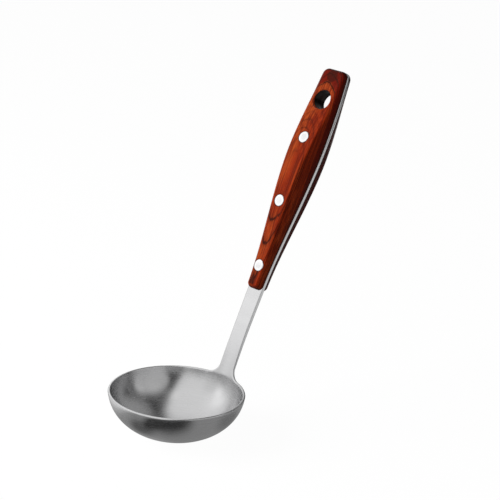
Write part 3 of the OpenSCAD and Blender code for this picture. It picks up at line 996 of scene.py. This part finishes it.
def scale_holes(shape, side):
    """Turned bodies to take out of a scale: three stepped rivet holes and the hang hole."""
    wood = shape.wood
    rivets = shape.rivets
    reach = wood.grip_t
    hole_r = rivets.sleeve_d/2 + rivets.clearance
    head_r = rivets.head_d/2 + rivets.clearance
    bodies = []
    for x in shape.rivet_at:
        seat = shape.rivet_seat(x)
        profile = [(0, 0.0), (hole_r, 0.0), (hole_r, seat), (head_r, seat), (head_r, reach), (0, reach)]
        bodies.append(lathe(profile, x))
    top = float(shape.handle_half_t(shape.hole_at))
    r = wood.hole_round
    turns = [math.pi/2*k/EDGE_STEPS for k in range(EDGE_STEPS + 1)]
    mouth = [(wood.hole_d/2 + r - r*math.cos(t), top - r + r*math.sin(t)) for t in turns]
    profile = [(0, 0.0), (wood.hole_d/2, 0.0)] + mouth + [(wood.hole_d/2 + r, reach), (0, reach)]
    bodies.append(lathe(profile, shape.hole_at))
    if side > 0:
        return bodies
    return [([(x, y, -z) for x, y, z in points], [f[::-1] for f in faces]) for points, faces in bodies]


class LADLE_OT_rivets(Operator):
    """Makes the three two-piece rivets: a sleeve from the front and a pin from the rear of each."""

    bl_idname = "ladle.rivets"
    bl_label = "Rivets"

    def execute(self, context):
        _, _, rivets, _ = settings()
        shape = LadleShape()
        material = polished_rivet_material(rivets.colour, shape)
        for name, x in zip(RIVET_NAMES, shape.rivet_at):
            for part, side in (("sleeve", 1), ("pin", -1)):
                points, faces = rivet_body(shape, x, part, side)
                node = f"{name}_rivet_{part}"
                piece = new_object("steel_" + node, shape.on_handle(points), faces, material)
                finish_piece(piece, "rivet", node)
        return {"FINISHED"}


def rivet_body(shape, x, part, side):
    """Points and faces of one half of a rivet, its head following the wood around it."""
    rivets = shape.rivets
    seat = shape.rivet_seat(x)
    head_r = rivets.head_d/2
    pin_r = rivets.pin_d/2
    sleeve_r = rivets.sleeve_d/2
    if part == "sleeve":
        bore_end = seat - rivets.end_gap
        mouth = rivets.end_gap - seat
        shank = [(0, bore_end), (pin_r, bore_end), (pin_r, mouth), (sleeve_r, mouth), (sleeve_r, seat)]
    else:
        tip = 2*rivets.end_gap - seat
        shank = [(0, tip), (pin_r, tip), (pin_r, seat)]
    bevel = rivets.head_bevel
    top = seat + rivets.head_h
    rim = [(head_r, seat), (head_r, top - bevel), (head_r - bevel, top)]
    crown = [((head_r - bevel)*(1 - k/CROWN_STEPS), top) for k in range(1, CROWN_STEPS + 1)]
    points, faces = lathe(shank + rim + crown, x)
    fitted = []
    for px, py, pz in points:
        if pz > seat + bevel:
            share = 1 - math.hypot(px - x, py)/head_r
            drop = top - pz
            pz = shape.surface_height(px, py) - drop + rivets.head_proud*math.sqrt(max(share, 0.0))
        fitted.append((px, py, side*pz))
    return fitted, [face[::side] for face in faces]


# Stage

class LADLE_OT_stage(Operator):
    """Sets the floor, the light and the camera."""

    bl_idname = "ladle.stage"
    bl_label = "Studio"

    def execute(self, context):
        _, _, _, studio = settings()
        shape = LadleShape()
        scene = context.scene
        scene.view_settings.view_transform = "Standard"
        middle = Vector((shape.bowl_x, 0.0, shape.steel.bowl_depth))
        right = Vector((math.cos(studio.azimuth), -math.sin(studio.azimuth), 0.0))
        away = Vector((math.sin(studio.azimuth), math.cos(studio.azimuth), 0.0))
        up = Vector((0.0, 0.0, 1.0))
        white_world(scene, studio.ambient)
        lay_floor()
        axes = Matrix((right, away, up)).transposed().to_4x4()
        hang_tent(Matrix.Translation(middle) @ axes)
        lay_cloth(Matrix.Translation((shape.bowl_x, 0.0, CLOTH_LIFT)) @ axes)
        aim = middle + KEY_AIM_UP*up
        softbox("key_softbox", aim + axes.to_3x3() @ Vector(KEY_PLACE), aim, studio.key_power)
        set_camera(scene, studio, middle, right, away, up)
        return {"FINISHED"}


def white_world(scene, ambient):
    """A white backdrop that dull surfaces see dimmed."""
    world = bpy.data.worlds.new("white_backdrop")
    scene.world = world
    world.use_nodes = True
    tree = world.node_tree
    tree.nodes.clear()
    strength = remap(tree, seen_directly(tree), 0.0, 1.0, ambient, 1.0)
    back = add_node(tree, "ShaderNodeBackground", {"Color": WHITE, "Strength": strength})
    output = add_node(tree, "ShaderNodeOutputWorld")
    tree.links.new(back.outputs[0], output.inputs[0])


def seen_directly(tree):
    """1 for the camera, mirror images and glass, and 0 for the light on dull surfaces."""
    path = add_node(tree, "ShaderNodeLightPath").outputs
    seen = math_node(tree, "ADD", path["Is Camera Ray"], path["Is Glossy Ray"])
    return math_node(tree, "ADD", seen, path["Is Transmission Ray"], clamp=True)


def flat_square(name, half, material):
    """A level square of twice the half width."""
    corners = [(-half, -half, 0.0), (half, -half, 0.0), (half, half, 0.0), (-half, half, 0.0)]
    return new_object(name, corners, [(0, 1, 2, 3)], material)


def lay_floor():
    """A wide pale floor under the bowl that keeps a faint shadow."""
    material, tree, shader = new_material("pale_floor")
    grain = noise(tree, add_node(tree, "ShaderNodeTexCoord").outputs["Object"], (3.0, 3.0, 3.0))
    dark, light = FLOOR_TONES
    connect(tree, shader, {
        "Base Color": blend_colour(tree, grain, (dark, dark, dark), (light, light, light)),
        "Roughness": 0.9,
        "Specular IOR Level": 0.0,
    })
    glow = add_node(tree, "ShaderNodeEmission", {"Color": WHITE, "Strength": FLOOR_GLOW})
    share = math_node(tree, "MULTIPLY", seen_directly(tree), FLOOR_GLOW_SHARE)
    blended = add_node(tree, "ShaderNodeMixShader", {0: share, 1: shader.outputs[0], 2: glow.outputs[0]})
    tree.links.new(blended.outputs[0], tree.nodes["Material Output"].inputs["Surface"])
    floor = flat_square("floor", FLOOR_HALF_W, material)


def only_reflected(thing):
    """Hides a stage piece from everything but reflections."""
    thing.visible_camera = False
    thing.visible_diffuse = False
    thing.visible_transmission = False
    thing.visible_shadow = False


def glowing(name):
    """A material that only gives light, with its tree and the strength socket."""
    material, tree, shader = new_material(name)
    glow = add_node(tree, "ShaderNodeEmission", {"Color": WHITE})
    tree.links.new(glow.outputs[0], tree.nodes["Material Output"].inputs["Surface"])
    tree.nodes.remove(shader)
    return material, tree, glow.inputs["Strength"]


def hang_tent(place):
    """A dark cloth dome with lit panels around the set, which only reflections see."""
    points = []
    for i in range(TENT_RINGS + 1):
        tilt = math.pi*i/TENT_RINGS
        flat = TENT_R*math.sin(tilt)
        for k in range(TENT_SEGMENTS):
            turn = 2*math.pi*k/TENT_SEGMENTS
            points.append((flat*math.cos(turn), flat*math.sin(turn), TENT_R*math.cos(tilt)))
    rows = [list(range(i*TENT_SEGMENTS, (i + 1)*TENT_SEGMENTS)) for i in range(TENT_RINGS + 1)]
    faces = []
    for high, low in zip(rows, rows[1:]):
        faces += strip(high, low, closed=True)
    material, tree, strength = glowing("lit_tent")
    ray = vector_math(tree, "NORMALIZE", add_node(tree, "ShaderNodeTexCoord").outputs["Object"])
    leftward = vector_math(tree, "DOT_PRODUCT", ray, TENT_LEFT_TOWARD)
    level = remap(tree, leftward, *TENT_LEFT_EDGE, TENT_GREY, TENT_LEFT, smooth=True)
    for toward, inner, outer, lit in TENT_PANELS:
        facing = vector_math(tree, "DOT_PRODUCT", ray, Vector(toward).normalized())
        start = math.cos(math.radians(outer))
        full = math.cos(math.radians(inner))
        level = math_node(tree, "ADD", remap(tree, facing, start, full, 0.0, lit, smooth=True), level)
    tree.links.new(math_node(tree, "MAXIMUM", level, 0.0), strength)
    tent = new_object("tent", points, faces, material)
    tent.matrix_world = place
    only_reflected(tent)


def lay_cloth(place):
    """A grey cloth under the bowl with darker and lighter patches, which only reflections see."""
    material, tree, strength = glowing("grey_cloth")
    spot = add_node(tree, "ShaderNodeTexCoord").outputs["Object"]
    level = CLOTH_GREY
    for centre, inner, outer, change in CLOTH_PATCHES:
        gap = vector_math(tree, "DISTANCE", spot, centre)
        level = math_node(tree, "ADD", remap(tree, gap, outer, inner, 0.0, change, smooth=True), level)
    tree.links.new(math_node(tree, "MAXIMUM", level, CLOTH_DARKEST), strength)
    cloth = flat_square("cloth", CLOTH_HALF_W, material)
    cloth.matrix_world = place
    only_reflected(cloth)


def softbox(name, place, aim, power):
    """A square light at a place, facing its aim."""
    lamp = bpy.data.lights.new(name, "AREA")
    lamp.shape = "SQUARE"
    lamp.size = KEY_W
    lamp.energy = power
    box = bpy.data.objects.new(name, lamp)
    box.location = place
    box.rotation_euler = (aim - place).to_track_quat("-Z", "Y").to_euler()
    box.visible_glossy = False
    bpy.context.scene.collection.objects.link(box)


def set_camera(scene, studio, middle, right, away, up):
    """The camera at the place from which the ladle was seen."""
    lens = bpy.data.cameras.new("camera")
    lens.lens = studio.focal/MM
    lens.sensor_width = SENSOR_W
    lens.clip_start = 0.01
    camera = bpy.data.objects.new("camera", lens)
    flat = studio.distance*math.cos(studio.elevation)
    place = middle - flat*away + studio.distance*math.sin(studio.elevation)*up
    aim = middle + studio.aim_right*right + studio.aim_up*up
    forward = (aim - place).normalized()
    level = forward.cross(up).normalized()
    over = level.cross(forward)
    across = math.cos(studio.roll)*level + math.sin(studio.roll)*over
    upright = math.cos(studio.roll)*over - math.sin(studio.roll)*level
    turn = Matrix((across, upright, -forward)).transposed().to_4x4()
    camera.matrix_world = Matrix.Translation(place) @ turn
    scene.collection.objects.link(camera)
    scene.camera = camera


class LADLE_PT_panel(Panel):
    """Lists the steps and the sizes of the ladle."""

    bl_idname = "LADLE_PT_panel"
    bl_label = "Soup ladle"
    bl_space_type = "VIEW_3D"
    bl_region_type = "UI"
    bl_category = "Ladle"

    def draw(self, context):
        layout = self.layout
        for operator in (LADLE_OT_steel, LADLE_OT_scales, LADLE_OT_rivets, LADLE_OT_stage):
            layout.operator(operator.bl_idname)
        for group in settings():
            box = layout.box()
            for name in group.__annotations__:
                box.prop(group, name)


CLASSES = (
    LadleSteel,
    LadleWood,
    LadleRivets,
    LadleStudio,
    LADLE_OT_steel,
    LADLE_OT_scales,
    LADLE_OT_rivets,
    LADLE_OT_stage,
    LADLE_PT_panel,
)


def register():
    """Registers the classes and hangs the property groups on the scene."""
    for cls in CLASSES:
        bpy.utils.register_class(cls)
    bpy.types.Scene.ladle_steel = PointerProperty(type=LadleSteel)
    bpy.types.Scene.ladle_wood = PointerProperty(type=LadleWood)
    bpy.types.Scene.ladle_rivets = PointerProperty(type=LadleRivets)
    bpy.types.Scene.ladle_studio = PointerProperty(type=LadleStudio)


def unregister():
    """Takes the property groups and the classes away again."""
    del bpy.types.Scene.ladle_studio
    del bpy.types.Scene.ladle_rivets
    del bpy.types.Scene.ladle_wood
    del bpy.types.Scene.ladle_steel
    for cls in reversed(CLASSES):
        bpy.utils.unregister_class(cls)


def main():
    """Makes the ladle and its studio."""
    register()
    bpy.ops.ladle.steel()
    bpy.ops.ladle.scales()
    bpy.ops.ladle.rivets()
    bpy.ops.ladle.stage()


if __name__ == "__main__":
    main()
